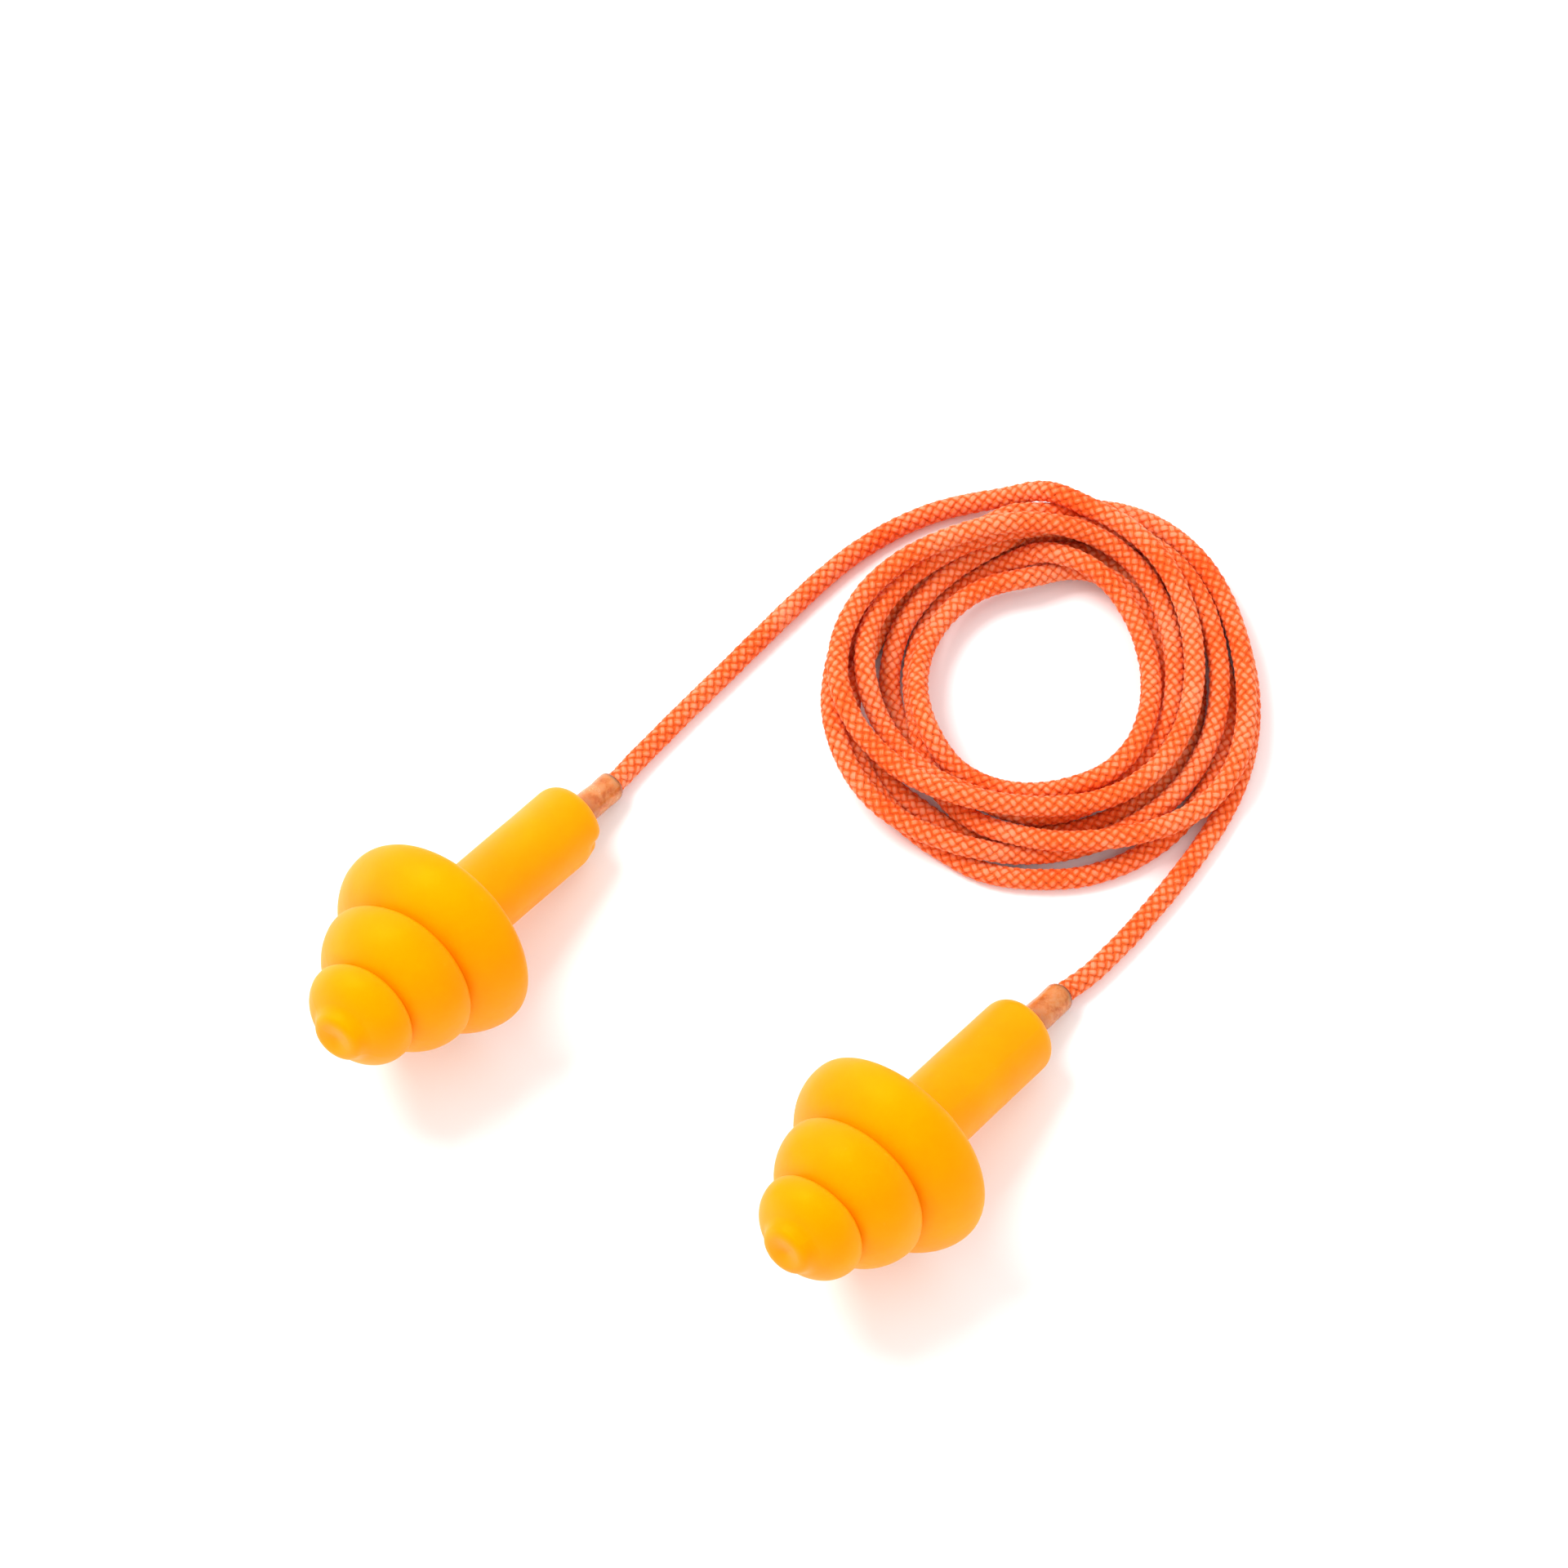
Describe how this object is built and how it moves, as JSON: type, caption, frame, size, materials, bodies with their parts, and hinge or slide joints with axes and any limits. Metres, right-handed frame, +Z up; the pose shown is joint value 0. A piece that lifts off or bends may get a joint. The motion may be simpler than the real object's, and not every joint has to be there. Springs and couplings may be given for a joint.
{
  "type": "corded ear plugs",
  "caption": "Pair of three-flange elastomer ear plugs on a coiled orange braided cord, with clear sleeves at the cord ends.",
  "frame": {"origin": "on the table plane, under the middle of the bounding box of the whole object as it lies at rest", "axes": "+Z up from the table; +Y from the plugs towards the far side of the cord coil; +X from the left plug towards the coil side"},
  "size_m": [0.0573, 0.0551, 0.0126],
  "materials": {
    "plug_elastomer": "satin",
    "sleeve_clear": "clear gloss",
    "cord_cover": "braided",
    "cord_core": "fibrous",
    "melted_tip": "gloss"
  },
  "bodies": {
    "coil": {"coil_cover": "cord_cover", "coil_core": "cord_core"},
    "left_lead_a": {"left_lead_a_cover": "cord_cover", "left_lead_a_core": "cord_core"},
    "left_lead_b": {"left_lead_b_cover": "cord_cover", "left_lead_b_core": "cord_core"},
    "left_lead_c": {"left_lead_c_cover": "cord_cover", "left_lead_c_core": "cord_core"},
    "left_cord_end": {"left_end_cover": "cord_cover", "left_end_core": "cord_core", "left_cord_tip": "melted_tip", "left_sleeve": "sleeve_clear"},
    "left_plug": {"left_plug": "plug_elastomer"},
    "right_lead_a": {"right_lead_a_cover": "cord_cover", "right_lead_a_core": "cord_core"},
    "right_lead_b": {"right_lead_b_cover": "cord_cover", "right_lead_b_core": "cord_core"},
    "right_lead_c": {"right_lead_c_cover": "cord_cover", "right_lead_c_core": "cord_core"},
    "right_cord_end": {"right_end_cover": "cord_cover", "right_end_core": "cord_core", "right_cord_tip": "melted_tip", "right_sleeve": "sleeve_clear"},
    "right_plug": {"right_plug": "plug_elastomer"}
  },
  "joints": [
    {"name": "left_lift", "type": "hinge", "parent": "coil", "child": "left_lead_a", "pos_m": [0.00306, 0.0228, 0.00065], "axis": [-0.6534, 0.757, 0], "range_deg": [0, 45]},
    {"name": "left_swing", "type": "hinge", "parent": "left_lead_a", "child": "left_lead_b", "pos_m": [-0.00082, 0.0189, 0.00065], "axis": [0, 0, -1], "range_deg": [-10, 25]},
    {"name": "left_bend", "type": "hinge", "parent": "left_lead_b", "child": "left_lead_c", "pos_m": [-0.00587, 0.01336, 0.00065], "axis": [-0.7384, 0.6743, 0], "range_deg": [0, 45]},
    {"name": "left_roll", "type": "hinge", "parent": "left_lead_c", "child": "left_cord_end", "pos_m": [-0.01109, 0.00733, 0.001], "axis": [0.607, 0.7311, -0.3117], "range_deg": [-170, 170]},
    {"name": "left_pull_off", "type": "slide", "parent": "left_cord_end", "child": "left_plug", "axis": [-0.607, -0.7311, 0.3117], "range_m": [0, 0.008]},
    {"name": "right_lift", "type": "hinge", "parent": "coil", "child": "right_lead_a", "pos_m": [0.02355, 0.00157, 0.00065], "axis": [-0.8056, 0.5925, 0], "range_deg": [0, 45]},
    {"name": "right_swing", "type": "hinge", "parent": "right_lead_a", "child": "right_lead_b", "pos_m": [0.02159, -0.00096, 0.00065], "axis": [0, 0, 1], "range_deg": [-10, 25]},
    {"name": "right_bend", "type": "hinge", "parent": "right_lead_b", "child": "right_lead_c", "pos_m": [0.01957, -0.00331, 0.00066], "axis": [-0.7332, 0.68, 0], "range_deg": [0, 45]},
    {"name": "right_roll", "type": "hinge", "parent": "right_lead_c", "child": "right_cord_end", "pos_m": [0.01601, -0.00663, 0.001], "axis": [0.612, 0.7268, -0.3117], "range_deg": [-170, 170]},
    {"name": "right_pull_off", "type": "slide", "parent": "right_cord_end", "child": "right_plug", "axis": [-0.612, -0.7268, 0.3117], "range_m": [0, 0.008]}
  ]
}
